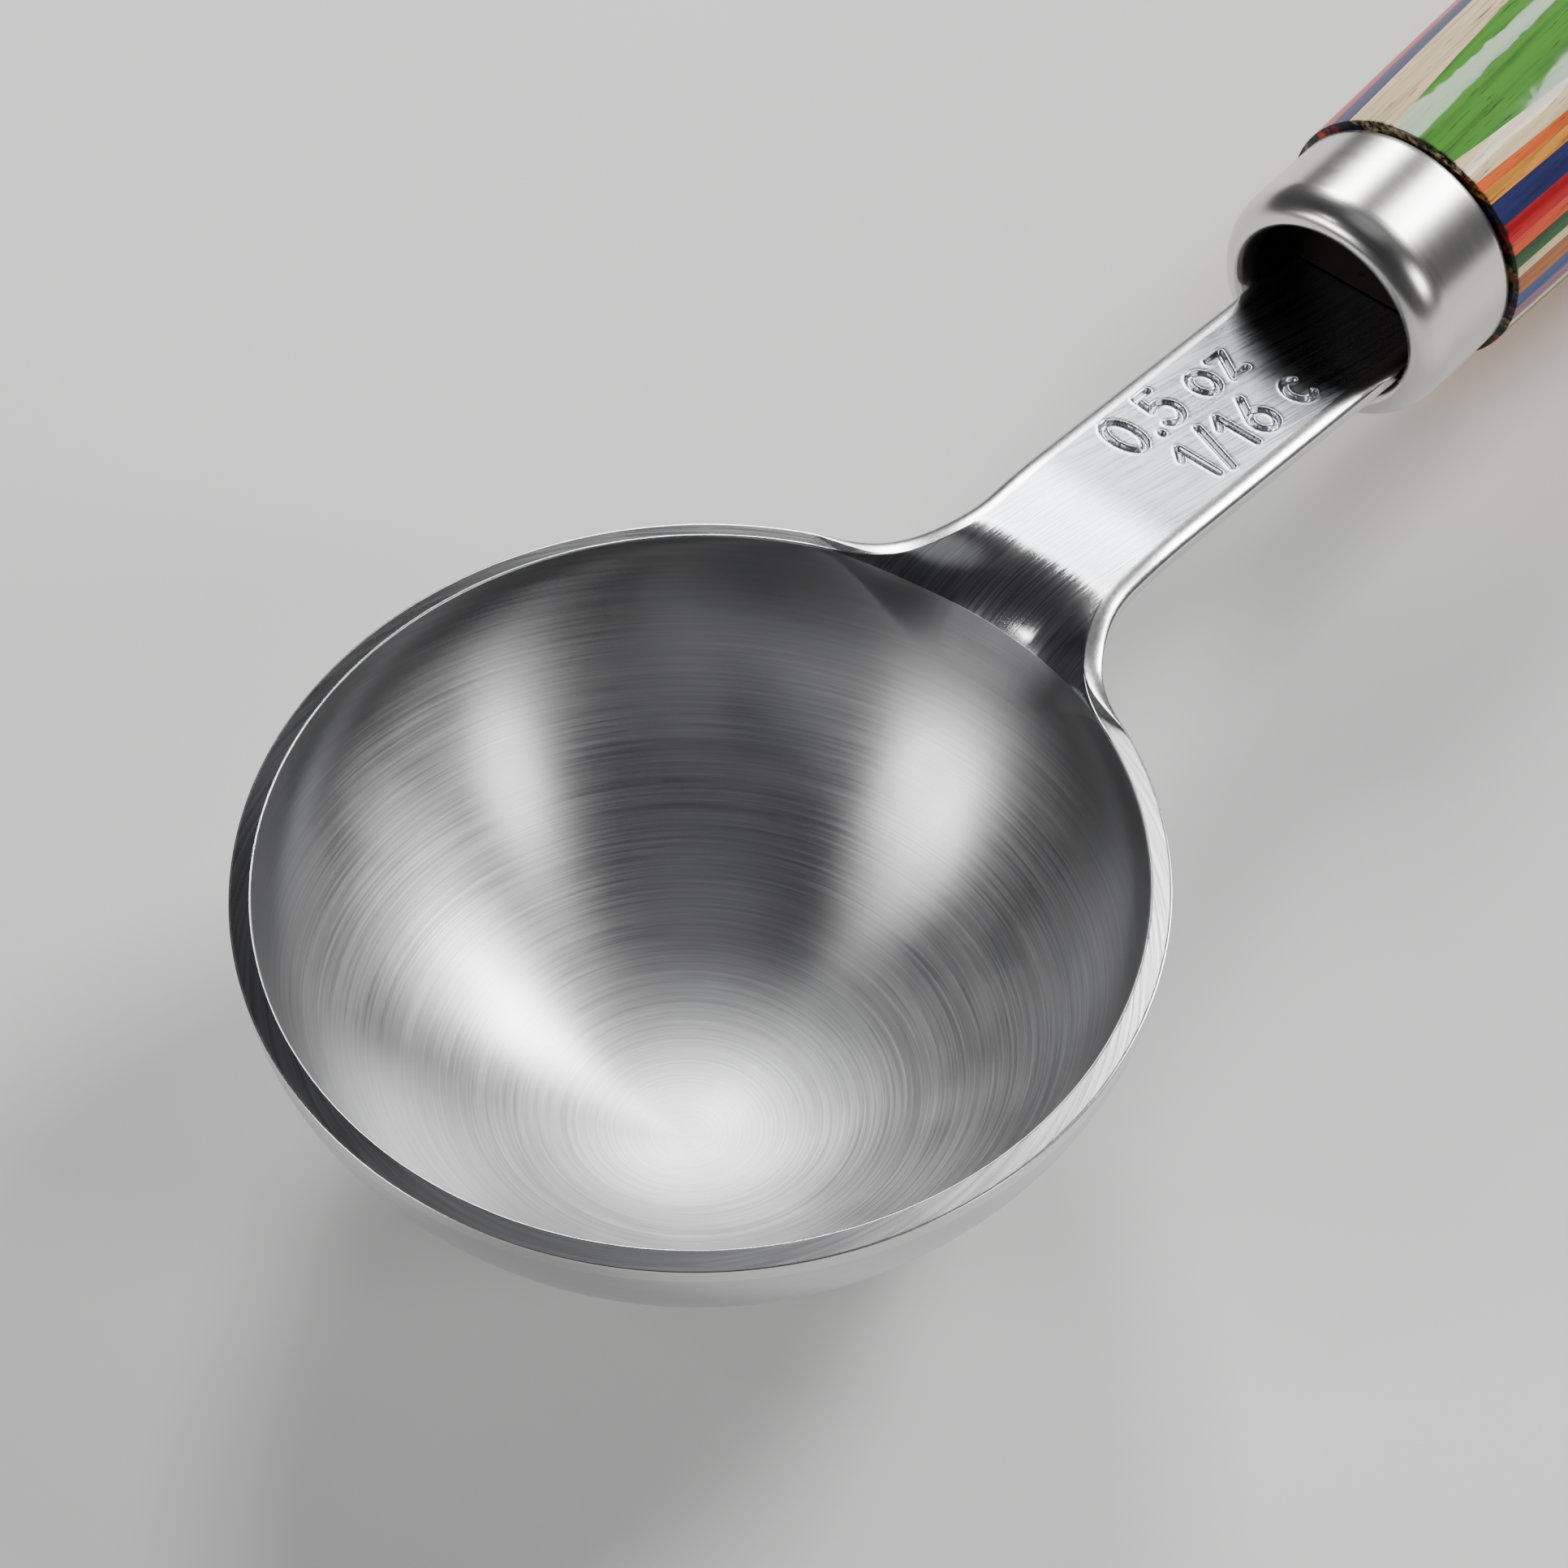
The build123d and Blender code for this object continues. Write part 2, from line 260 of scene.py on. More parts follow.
# %% One column of points
BASE_ROWS, SHOULDER_ROWS, BROW_ROWS, UNDER_ROWS = 90, 26, 34, 20
FLAT_SHARES = np.linspace(0, 1, 14)[:, None]
RIM_FALL = 0.22  # slope of the ground rim
SIDE_STEP = BOWL_RADIUS - SHOULDER_AT - math.sqrt(SHOULDER**2 - SHEET**2)  # lean of the wall


def edge_path(top_edge, low_edge, step):
    """The cut edge of the sheet, from the end of the flat top. Its upper rounding is an oval."""
    drop = 0.05 + 0.4 * top_edge
    top = arc((0, 0), 1, 90, 0, 13) * (top_edge, drop) + (0, -drop)
    low = arc((top_edge - step - low_edge, low_edge - SHEET), low_edge, 0, -90, 9)
    side = np.linspace(top[-1], low[0], 5)[1:-1]
    return np.vstack([top, side, low])


def top_line(ray, brow, over, end):
    """The upper side along a ray, from the bottom of the bowl to the end of the flat."""
    leave = -math.degrees(math.asin(brow / (INSIDE + brow)))
    crest = 90 + math.degrees(math.asin(over / brow))
    bowl = np.vstack([
        arc((0, BASE_UP), BASE - SHEET, -90, MEET, BASE_ROWS)[:-1],
        arc((SHOULDER_AT, 0), INSIDE, MEET, leave, SHOULDER_ROWS)[:-1],
        arc((SHOULDER_AT + brow_reach(brow), -brow), brow, 180 + leave, crest, BROW_ROWS),
    ])
    points = np.c_[bowl[:, :1] * ray, bowl[:, 1]]
    return np.vstack([points, points[-1] + FLAT_SHARES[1:] * (end - points[-1])])


def under_line(ray, under, end):
    """The underside along a ray, from its outer end to the bottom of the bowl."""
    down = under + SHEET
    centre = (SHOULDER_AT + math.sqrt((SHOULDER + under) ** 2 - down**2), -down)
    leave = -math.degrees(math.asin(down / (SHOULDER + under)))
    bowl = np.vstack([
        arc(centre, under, 90, 180 + leave, UNDER_ROWS)[:-1],
        arc((SHOULDER_AT, 0), SHOULDER, leave, MEET, SHOULDER_ROWS)[:-1],
        arc((0, BASE_UP), BASE, MEET, -90, BASE_ROWS),
    ])
    points = np.c_[bowl[:, :1] * ray, bowl[:, 1]]
    return np.vstack([end + FLAT_SHARES[:-1] * (points[0] - end), points])


def column(turn):
    """Top, cut edge and underside of the sheet in one half plane. Open columns have no edge."""
    side = abs(turn)
    ray = np.array([math.cos(math.radians(turn)), math.sin(math.radians(turn))])
    rim, top_edge, low_edge, flat = edges(side)
    step = SIDE_STEP * rim
    top_end, normal = outline(side, top_edge)
    low_end = top_end + normal * (top_edge - step - low_edge)
    brow = brow_at(side)
    low_reach = np.linalg.norm(low_end) - SHOULDER_AT
    low_fit = (low_reach**2 - SHOULDER**2 + SHEET**2) / (2 * INSIDE)
    under = least(BROW - SHEET, max(low_fit, HAIR))

    over, fall, edge = 0.0, 0.0, None
    if side < OPEN_TURN - 1e-9:
        top_end = low_end = ray * STRAP_START / ray[0]
    else:
        reach = np.linalg.norm(top_end) - flat - SHOULDER_AT
        over = max(brow_reach(brow) - reach, 0.0)
        fall = brow - math.sqrt(brow**2 - over**2) + RIM_FALL * rim
        mirror = (1, math.copysign(1, turn))
        top_end, normal, low_end = top_end * mirror, normal * mirror, low_end * mirror
        path = edge_path(top_edge, low_edge, step)
        height = path[:, 1] * (1 - fall / SHEET) - fall
        edge = np.c_[top_end + normal * path[:, :1], height]
    top = top_line(ray, brow, over, np.append(top_end, -fall))
    low = under_line(ray, under, np.append(low_end, -SHEET))
    return top, edge, low


print("points along the top of a column:", len(column(0)[0]))

# %% [markdown]
# The columns run from the middle of the neck round the bowl and back. They lie close together
# where the bend of the brow changes fast, and wider apart round the plain rim. On the neck
# they come near enough to one another to carry the stamped marks as real relief.

# %% Columns round the bowl
UPPER, CUT, UNDER = 0, 1, 2  # numbers of the three steel finishes
open_turns = np.linspace(0, OPEN_TURN, 66)
turns = np.concatenate([
    open_turns[:-1],
    np.linspace(OPEN_TURN, 27, 60)[:-1],
    np.linspace(27, 180, 110)[:-1],
])
turns = np.concatenate([turns, [180.0], -turns[:0:-1]])
columns = [column(turn) for turn in turns]
steel = Rows()
steel.grid([top for top, edge, low in columns], UPPER, closed=True)
steel.grid([edge for top, edge, low in columns if edge is not None], CUT)
steel.grid([low for top, edge, low in columns], UNDER, closed=True)
print("columns round the bowl:", len(columns))

# %% [markdown]
# The marks on the neck are plain amounts in ounces and cups, in single strokes just under
# three millimetres high. A text object would bring the outlines of a font, which are hard to
# press into a sheet. A punch leaves one groove for each stroke, so a sign is given here as a
# few lines in a box one high.

# %% Strokes of the stamped marks


def bow(x, y, wide, high, start, end):
    """Part of an oval as a chain of points, in a box one high."""
    return arc((0, 0), 1, start, end, 15) * (wide, high) + (x, y)


STROKES = {
    "0": [bow(0.29, 0.5, 0.29, 0.5, 0, 360)],
    "1": [np.array([(0.02, 0.74), (0.26, 1.0), (0.26, 0.0)])],
    "5": [
        np.array([(0.5, 1), (0.12, 1), (0.07, 0.58)]),
        bow(0.26, 0.32, 0.3, 0.32, 130, -145),
    ],
    "6": [np.vstack([[(0.44, 1.0)], bow(0.28, 0.3, 0.27, 0.3, 155, 515)])],
    ".": [np.array([(0.05, 0.0), (0.06, 0.03)])],
    "/": [np.array([(0.0, -0.08), (0.42, 1.08)])],
    "o": [bow(0.28, 0.33, 0.27, 0.33, 0, 360)],
    "z": [np.array([(0.03, 0.66), (0.45, 0.66), (0.03, 0.0), (0.47, 0.0)])],
    "c": [bow(0.28, 0.33, 0.27, 0.33, 50, 310)],
}
WIDTH = {
    "0": 0.84, "1": 0.6, "5": 0.82, "6": 0.84, ".": 0.36,
    "/": 0.68, "o": 0.82, "z": 0.7, "c": 0.7, " ": 0.4,
}
MARK_HIGH = 2.6


def words(text, x, y):
    """The strokes of a line of signs, in millimetres on the neck."""
    strokes = []
    for sign in text:
        for stroke in STROKES.get(sign, []):
            strokes.append(np.array(stroke) * MARK_HIGH + (x, y))
        x += WIDTH[sign] * MARK_HIGH
    return strokes


marks = words("0.5 oz", 34.9, 0.9) + words("1/16 c", 36.2, -2.95)
print("strokes in the marks:", len(marks))

# %% [markdown]
# A struck groove has a round end, and the metal beside it is pushed up into two small lips. A
# bump texture would look flat from the side, so the marks are cut for real. The depth at a
# point of the neck comes from its distance to the nearest line.

# %% Depth of the stamped marks
GROOVE_HALF = 0.15  # half the width of a groove
GROOVE_DEPTH = 0.26
LIP = 0.02


def relief(points, strokes):
    """Height of the struck surface at points of the neck."""
    near = np.full(points.shape[:-1], 9.0)  # so far away that nothing is struck
    for stroke in strokes:
        for a, b in zip(stroke[:-1], stroke[1:]):
            run = b - a
            share = np.clip(((points - a) @ run) / max(run @ run, 1e-9), 0, 1)
            near = np.minimum(near, np.linalg.norm(points - a - share[..., None] * run, axis=-1))
    groove = -GROOVE_DEPTH * np.exp(-((near / GROOVE_HALF) ** 6))
    return groove + LIP * np.exp(-(((near - 1.75 * GROOVE_HALF) / (0.55 * GROOVE_HALF)) ** 2))


print("depth on a stroke:", relief(marks[0][:1], marks).round(3))

# %% [markdown]
# Past the brow the neck is a strap of even thickness. It runs level, bends down, slopes to the
# ferrule and levels out in its mouth, and the tang goes on inside the wood. A straight slope
# between two short bends is what a press leaves.

# %% Line of the strap
BEND_X = BOWL_RADIUS + 8.0
MOUTH_X = FERRULE_FRONT + 1.4
BEND_HALF = 1.76  # half the length of each bend
STRAP_DROP = AXIS_DROP + 1.15
FALL = STRAP_DROP / (MOUTH_X - BEND_X)


def strap_height(x):
    """Height of the strap's upper side and the fall of its line."""
    bend = np.clip((x - BEND_X + BEND_HALF) / (2 * BEND_HALF), 0, 1)
    level = np.clip((x - MOUTH_X + BEND_HALF) / (2 * BEND_HALF), 0, 1)
    z = -FALL * (
        np.where(x > BEND_X + BEND_HALF, x - BEND_X, bend**2 * BEND_HALF)
        - np.where(x > MOUTH_X + BEND_HALF, x - MOUTH_X, level**2 * BEND_HALF)
    )
    return z, FALL * (bend - level)


MARKS_FROM, MARKS_TO, HIDDEN_FROM = 34.0, 47.5, 54.0
stations = np.concatenate([
    np.linspace(STRAP_START, MARKS_FROM, 32)[:-1],
    np.linspace(MARKS_FROM, MARKS_TO, 210)[:-1],
    np.linspace(MARKS_TO, HIDDEN_FROM, 34)[:-1],
    np.linspace(HIDDEN_FROM, TANG_END, 26),
])
z, fall = strap_height(stations)
tilt = np.arctan(fall)
line = np.stack([stations, z], -1)
up = np.stack([np.sin(tilt), np.cos(tilt)], -1)


def on_strap(y, height):
    """Points at a distance across and above the strap's upper side."""
    place = line[:, None, :] + up[:, None, :] * height[..., None]
    return np.stack([place[..., 0], y, place[..., 1]], -1)


print("rows along the strap:", len(stations), "falling", round(STRAP_DROP, 2), "mm")

# %% [markdown]
# The points across the strap start where the columns of the bowl leave off, so the two weld
# without a seam. Both long edges have the same rounded cut as the flares, so they join
# without a step.

# %% The strap and the finished steel piece
MOUTH_HALF = 4.9  # half the width of the neck at the ferrule
grow =np.clip((stations - STRAP_START) / (MOUTH_X - STRAP_START), 0, 1)
half = NECK_HALF + (MOUTH_HALF - NECK_HALF) * grow
across = STRAP_START * np.tan(np.radians(np.concatenate([-open_turns[:0:-1], open_turns])))
spread = across[None, :] * ((half - TOP_EDGE) / (NECK_HALF - TOP_EDGE))[:, None]
flat_points = np.stack([np.broadcast_to(stations[:, None], spread.shape), spread], -1)
bumps = relief(flat_points, marks)
steel.grid(on_strap(spread, bumps), UPPER)

low_spread = spread.copy()
low_spread[:, 0] = -(half - LOW_EDGE - HAIR)
low_spread[:, -1] = half - LOW_EDGE - HAIR
steel.grid(on_strap(low_spread, np.full(spread.shape, -SHEET)), UNDER)

path = edge_path(TOP_EDGE, LOW_EDGE + HAIR, 0)
for side in (-1, 1):
    y = side * (half[:, None] - TOP_EDGE + path[None, :, 0])
    steel.grid(on_strap(y, np.broadcast_to(path[None, :, 1], y.shape)), CUT)

spoon = steel.piece("pressed_steel_spoon")
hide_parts("bowl_and_neck")
print("relief from", round(bumps.min(), 3), "to", round(bumps.max(), 3))

# %% [markdown]
# The ferrule is a short steel cap that was spun on a lathe. Its front rolls inwards to a
# rounded lip, its inside is hollow behind the lip, and its back edge has a small bright bevel.
# A screw modifier could turn a profile too. Here the same rows as for the bowl do it, so that
# the lip is as fine as it needs to be and the rest stays light.

# %% The ferrule
MOUTH = 5.15  # radius of the opening
CREST = 5.7  # radius where the lip stands furthest forward
WALL = 0.8
SHOULDER_END = FERRULE_FRONT + 2.0
profile = np.vstack([
    arc((0, 0), 1, 90, 180, 26) * (2.0, FERRULE_RADIUS - CREST) + (SHOULDER_END, CREST),
    (arc((0, 0), 1, 180, 262, 18) * (1.4, CREST - MOUTH) + (FERRULE_FRONT + 1.4, CREST))[1:],
    arc((FERRULE_FRONT + 1.3, MOUTH + 0.12), 0.11, 265, 350, 6),
    [
        (FERRULE_FRONT + 1.75, MOUTH + 0.3),
        (SHOULDER_END + 0.8, FERRULE_RADIUS - WALL),
        (FERRULE_BACK - 0.05, FERRULE_RADIUS - WALL),
        (FERRULE_BACK, FERRULE_RADIUS - WALL + 0.05),
        (FERRULE_BACK, FERRULE_RADIUS - 0.27),
        (FERRULE_BACK - 0.03, FERRULE_RADIUS - 0.22),
        (FERRULE_BACK - 0.22, FERRULE_RADIUS - 0.03),
        (FERRULE_BACK - 0.28, FERRULE_RADIUS),
    ],
    [(x, FERRULE_RADIUS) for x in np.linspace(FERRULE_BACK - 0.6, SHOULDER_END, 12)],
])
spin = np.radians(np.linspace(0, 360, 193)[:-1])
around = np.stack([
    np.broadcast_to(profile[None, :, 0], (len(spin), len(profile))),
    np.sin(spin)[:, None] * profile[None, :, 1],
    np.cos(spin)[:, None] * profile[None, :, 1] - AXIS_DROP,
], -1)
lathe = Rows()
lathe.grid(around, closed=True)
cap = lathe.piece("spun_steel_ferrule")
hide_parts("ferrule")

# %% [markdown]
# Now the finishes. Image textures could be painted, but marks of a tool are simpler to say in
# nodes, and they follow the millimetres of the part at any size. Each finish is a small node
# tree. These helpers add a node, join it up and set its values, so that the cells below read
# as recipes.

# %% Helpers for materials


class Recipe:
    """Builds one node material. Places are in millimetres from the middle of the bowl's rim."""

    def __init__(self, name):
        self.material = bpy.data.materials.new(name)
        self.material.use_nodes = True
        self.tree = self.material.node_tree
        self.shader = self.tree.nodes["Principled BSDF"]
        place = self.add("ShaderNodeTexCoord").outputs["Object"]
        scaled = self.vector("SCALE", place, scale=1000.0)
        self.place = self.vector("SUBTRACT", scaled, tuple(RIM))
        parts = self.add("ShaderNodeSeparateXYZ")
        self.join(self.place, parts.inputs[0])
        self.x, self.y, self.z = parts.outputs

    def add(self, kind, **values):
        """A new node."""
        node = self.tree.nodes.new(kind)
        for name, value in values.items():
            setattr(node, name, value)
        return node

    def join(self, source, socket):
        """Links an output to a socket, or sets the socket to a plain value."""
        if hasattr(source, "is_output"):
            self.tree.links.new(source, socket)
        else:
            socket.default_value = source

    def fill(self, node, sources, sockets=None):
        """Joins several sources to a node's sockets, in order."""
        for source, socket in zip(sources, sockets or node.inputs):
            self.join(source, socket)
        return node.outputs

    def math(self, operation, *sources, clamp=False):
        node = self.add("ShaderNodeMath", operation=operation, use_clamp=clamp)
        return self.fill(node, sources)[0]

    def plus(self, first, second):
        return self.math("ADD", first, second)

    def times(self, first, second):
        return self.math("MULTIPLY", first, second)

    def vector(self, operation, *sources, scale=None):
        node = self.add("ShaderNodeVectorMath", operation=operation)
        outputs = self.fill(node, sources)
        if scale is not None:
            node.inputs["Scale"].default_value = scale
        return outputs["Value" if operation == "LENGTH" else "Vector"]

    def triple(self, x, y, z):
        """A vector from three values."""
        return self.fill(self.add("ShaderNodeCombineXYZ"), (x, y, z))[0]

    def noise(self, place, scale=1.0, detail=2.0, rough=0.5):
        node = self.add("ShaderNodeTexNoise")
        self.join(place, node.inputs["Vector"])
        node.inputs["Scale"].default_value = scale
        node.inputs["Detail"].default_value = detail
        node.inputs["Roughness"].default_value = rough
        return node.outputs[0]

    def step(self, source, low, high, first=0.0, last=1.0):
        """Goes smoothly from one value to another over a range. A range turned round falls."""
        node = self.add("ShaderNodeMapRange", interpolation_type="SMOOTHSTEP")
        return self.fill(node, (source, low, high, first, last))[0]

    def mix(self, share, first, second):
        """Mixes two colours, which have their own sockets behind those for plain values."""
        node = self.add("ShaderNodeMix", data_type="RGBA")
        sockets = (node.inputs[0], node.inputs[6], node.inputs[7])
        return self.fill(node, (share, first, second), sockets)[2]

    def bump(self, height, distance, strength):
        """Relief of a height, over a distance in millimetres."""
        node = self.add("ShaderNodeBump")
        self.join(height, node.inputs["Height"])
        node.inputs["Distance"].default_value = distance * MM
        node.inputs["Strength"].default_value = strength
        return node.outputs[0]

    def set(self, **sources):
        """Gives the shader its values. An underscore stands for a space."""
        for name, source in sources.items():
            self.join(source, self.shader.inputs[name.replace("_", " ")])
        return self.material


print("recipes can:", [name for name in vars(Recipe) if not name.startswith("_")])

# %% [markdown]
# Steel shows its brushing more than its colour. Inside the bowl the fine lines are rings about
# a point a little off the bottom, left by a spinning mop. On the neck they run lengthwise.
# Scratches could be drawn one by one, but stretched noise is quicker and never repeats: it
# changes fast across the lines and slowly along them.

# %% Brushed lines
SWIRL = (-3.8, -1.9)  # where the rings in the bowl have their centre


def ring_lines(recipe, centre, fine, along):
    """Noise in rings about an upright line, and the two distances from that line."""
    dx = recipe.math("SUBTRACT", recipe.x, centre[0])
    dy = recipe.math("SUBTRACT", recipe.y, centre[1])
    squares = recipe.plus(recipe.times(dx, dx), recipe.times(dy, dy))
    reach = recipe.math("SQRT", squares)
    deep = recipe.times(recipe.plus(reach, recipe.times(recipe.z, 0.7)), fine)
    place = recipe.triple(recipe.times(dx, along), recipe.times(dy, along), deep)
    return recipe.noise(place, 1.0, 3.0, 0.6), dx, dy


def straight_lines(recipe, across, fine, along):
    """Noise in lines along the handle."""
    place = recipe.triple(
        recipe.times(recipe.x, along), recipe.times(across, fine), recipe.times(recipe.z, along)
    )
    return recipe.noise(place, 1.0, 3.0, 0.6)


print("rings in the bowl turn about", SWIRL)

# %% [markdown]
# The upper side of the sheet was finished in three ways: a swirl inside the bowl, a polished
# brow, and lengthwise brushing on the neck. The rim is ground round. Up its wall the bowl is
# painted darker as shade in a belt below the rim, and darker still, and rougher, under the brow.
# The mesh could have an edge wherever a finish ends, but the polish ends in a crisp curve of its
# own. So one material does them all, with masks made from the place of a point.

# %% Masks for the upper steel
WALL_TOP = (21.15, 21.22)  # the curve where the polish begins, from the bowl's axis
# painted shade: the wall is painted darker between these heights, and darker still where it comes
# under the brow
PAINTED_SHADE_HEIGHTS = (-8.0, -2.0)  # heights over which the wall gets darker
MATT_AND_SHADE_UNDER_BROW = (13.0, 18.0)  # along the handle, where the wall comes under the brow
BROW_FROM = (19.4, 20.2)  # where the rim gives way to the brow
NECK_FROM = (26.2, 28.0)  # where the brushing of the neck begins


def upper_masks(recipe, lengthwise):
    """How much a point lies on the brow, the rim, the neck, the belt of painted shade, and under
    the brow.
    """
    far = recipe.vector("LENGTH", recipe.triple(recipe.x, recipe.y, 0.0))
    seen = recipe.plus(far, recipe.times(recipe.z, 0.5))
    past_wall = recipe.step(seen, *WALL_TOP)
    on_brow = recipe.times(past_wall, recipe.step(recipe.x, *BROW_FROM))
    on_rim = recipe.times(past_wall, recipe.step(recipe.x, *BROW_FROM[::-1]))
    ragged = recipe.plus(recipe.x, recipe.times(lengthwise, 1.6))
    on_neck = recipe.step(ragged, *NECK_FROM)
    painted_shade_belt = recipe.times(recipe.step(recipe.z, *PAINTED_SHADE_HEIGHTS), recipe.step(seen, *WALL_TOP[::-1]))
    matt_and_shade_under_brow = recipe.times(painted_shade_belt, recipe.step(recipe.x, *MATT_AND_SHADE_UNDER_BROW))
    return on_brow, on_rim, on_neck, painted_shade_belt, matt_and_shade_under_brow


print("the polish begins", WALL_TOP[0], "mm from the bowl's axis, the neck at", NECK_FROM[0])

# %% [markdown]
# Brushed metal stretches a highlight across its lines. The shader needs a tangent for that, so
# it points outwards from the swirl in the bowl, along the ground rim, and across the neck. The
# brow is smoother than the rest and hardly grooved. The belt up the wall is painted greyer as
# shade, and under the brow the wall is painted darker still as shade and made more matt.

# %% Upper steel


def upper_steel():
    """Swirled bowl, polished brow, ground rim and brushed neck in one material, with painted shade
    up the wall.
    """
    recipe = Recipe("brushed_steel_upper")
    rings, dx, dy = ring_lines(recipe, SWIRL, 5.5, 0.1)
    oblique = recipe.plus(recipe.y, recipe.times(recipe.x, 0.16))
    lengthwise = straight_lines(recipe, oblique, 9.0, 0.25)
    on_brow, on_rim, on_neck, painted_shade_belt, matt_and_shade_under_brow = upper_masks(recipe, lengthwise)
    lines = recipe.mix(
        on_brow, recipe.step(rings, 0.14, 0.86), recipe.step(lengthwise, 0.32, 0.68)
    )

    cloud = recipe.noise(recipe.place, 0.16, 2.0)
    rough = recipe.plus(recipe.step(cloud, 0.3, 0.7, 0.30, 0.36), recipe.times(lines, 0.08))
    for mask, factor in ((on_brow, 0.35), (on_neck, 2.2), (on_rim, 0.75)):
        rough = recipe.times(rough, recipe.step(mask, 0.0, 1.0, 1.0, factor))
    rough = recipe.plus(rough, recipe.times(matt_and_shade_under_brow, 0.22))

    outward = recipe.vector("NORMALIZE", recipe.triple(dx, dy, 0.0))
    around = recipe.triple(recipe.times(recipe.y, -1.0), recipe.x, 0.0)
    tangent = recipe.mix(on_neck, outward, (0.0, 1.0, 0.0, 1.0))
    tangent = recipe.mix(on_rim, tangent, recipe.vector("NORMALIZE", around))

    bowl = recipe.mix(lines, (0.48, 0.48, 0.49, 1), (0.70, 0.70, 0.70, 1))
    neck = recipe.mix(lines, (0.40, 0.42, 0.46, 1), (0.62, 0.64, 0.68, 1))
    colour = recipe.mix(on_neck, bowl, neck)
    # Painted shade: the wall is painted darker in a belt below the rim, and darker still under the
    # brow.
    colour = recipe.mix(recipe.times(painted_shade_belt, 0.7), colour, (0.22, 0.22, 0.225, 1))
    colour = recipe.mix(recipe.times(matt_and_shade_under_brow, 0.6), colour, (0.16, 0.16, 0.165, 1))

    polished = recipe.math("SUBTRACT", on_brow, on_neck, clamp=True)
    grooves = recipe.times(lines, recipe.step(polished, 0.0, 1.0, 1.0, 0.12))
    return recipe.set(
        Base_Color=colour, Metallic=1.0, Roughness=rough, Anisotropic=0.75, Tangent=tangent,
        Normal=recipe.bump(grooves, 0.005, 0.7),
    )


spoon.data.materials.append(upper_steel())
print("upper finish:", spoon.data.materials[UPPER].name)

# %% [markdown]
# The other steel faces are plainer. The cut edge was ground and has a fine grit. The underside
# has the same mop lines as the inside, only centred. The ferrule was spun, so its lines run
# round the handle. Each of them is one noise that drives colour, roughness and a faint bump.

# %% Other steel
EDGE_GREYS = (0.62, 0.62, 0.62, 1), (0.74, 0.74, 0.73, 1)
UNDER_GREYS = (0.56, 0.56, 0.57, 1), (0.66, 0.66, 0.66, 1)
FERRULE_GREYS = (0.60, 0.59, 0.57, 1), (0.70, 0.69, 0.67, 1)


def plain_steel(recipe, lines, greys, rough, more_rough, relief_mm, strength):
    """Metal whose noise shifts it between two greys and makes it rougher."""
    return recipe.set(
        Base_Color=recipe.mix(lines, *greys),
        Metallic=1.0,
        Roughness=recipe.plus(rough, recipe.times(lines, more_rough)),
        Normal=recipe.bump(lines, relief_mm, strength),
    )


recipe = Recipe("ground_steel_edge")
grit = recipe.noise(recipe.place, 5.0, 4.0, 0.6)
spoon.data.materials.append(plain_steel(recipe, grit, EDGE_GREYS, 0.18, 0.12, 0.01, 0.4))

recipe = Recipe("brushed_steel_under")
rings = ring_lines(recipe, (0.0, 0.0), 6.0, 0.12)[0]
spoon.data.materials.append(plain_steel(recipe, rings, UNDER_GREYS, 0.27, 0.08, 0.006, 0.6))

recipe = Recipe("spun_steel")
lines = recipe.noise(recipe.vector("MULTIPLY", recipe.place, (9.0, 0.2, 0.2)), 1.0, 3.0, 0.6)
cap.data.materials.append(plain_steel(recipe, lines, FERRULE_GREYS, 0.2, 0.1, 0.004, 0.5))
print("steel finishes:", [m.name for m in spoon.data.materials], cap.data.materials[0].name)

# %% [markdown]
# The handle is a block of dyed veneers that was turned and then lacquered. The stripes could be
# one material that picks a colour by height, but each veneer is a separate solid, so each gets
# its own dye. The list runs from the top of the handle down.

# %% Dyes
GREEN = (0.06, 0.25, 0.02)
CREAM = (0.80, 0.62, 0.36)
ORANGE = (0.75, 0.13, 0.02)
AMBER = (0.75, 0.30, 0.04)
NAVY = (0.02, 0.025, 0.12)
RED = (0.50, 0.006, 0.012)
DYES = {
    "ply_01_green": GREEN,
    "ply_02_cream": CREAM,
    "ply_03_orange_right": ORANGE,
    "ply_04_amber_right": AMBER,
    "ply_05_cream_left": CREAM,
    "ply_06_navy": NAVY,
    "ply_07_red": RED,
    "ply_08_orange_red": (0.70, 0.07, 0.015),
    "ply_09_dark_green": (0.02, 0.09, 0.02),
    "ply_10_cream": CREAM,
    "ply_11_orange_brown": (0.45, 0.14, 0.03),
    "ply_12_blue": (0.02, 0.06, 0.20),
    "ply_13_mauve": (0.25, 0.08, 0.16),
    "ply_14_cream": CREAM,
    "ply_15_green": GREEN,
    "ply_16_orange": ORANGE,
    "ply_17_red": RED,
    "ply_18_navy": NAVY,
    "ply_19_cream": CREAM,
    "ply_20_green": GREEN,
    "ply_21_amber": AMBER,
}
print("veneers:", len(DYES))

# %% [markdown]
# Dye sinks deep into a veneer but unevenly, with fine dark pores drawn out along the grain. Where
# the wood meets the ferrule its seam is burnt black, and the wood inside the ferrule is painted the
# same black as shade in the hollow. A clear coat lies over everything outside, and stops where the
# wood enters the ferrule. Each veneer shifts the noise, so that no two have the same grain.

# %% Dyed and lacquered wood
GRAIN = (0.07, 2.2, 2.2)  # how fast the grain changes along, across and up the handle
PORES = (0.3, 7.0, 7.0)
PORE = (0.012, 0.008, 0.006, 1)
# black of the burnt seam at the ferrule, also painted as shade on the wood inside the ferrule
BURNT_AND_SHADE_BLACK = (0.01, 0.006, 0.004, 1)
BURNT_AND_SHADE_ENDS = (FERRULE_BACK + 0.3, FERRULE_BACK + 0.55)
COAT_BEGINS = (FERRULE_BACK - 0.4, FERRULE_BACK)


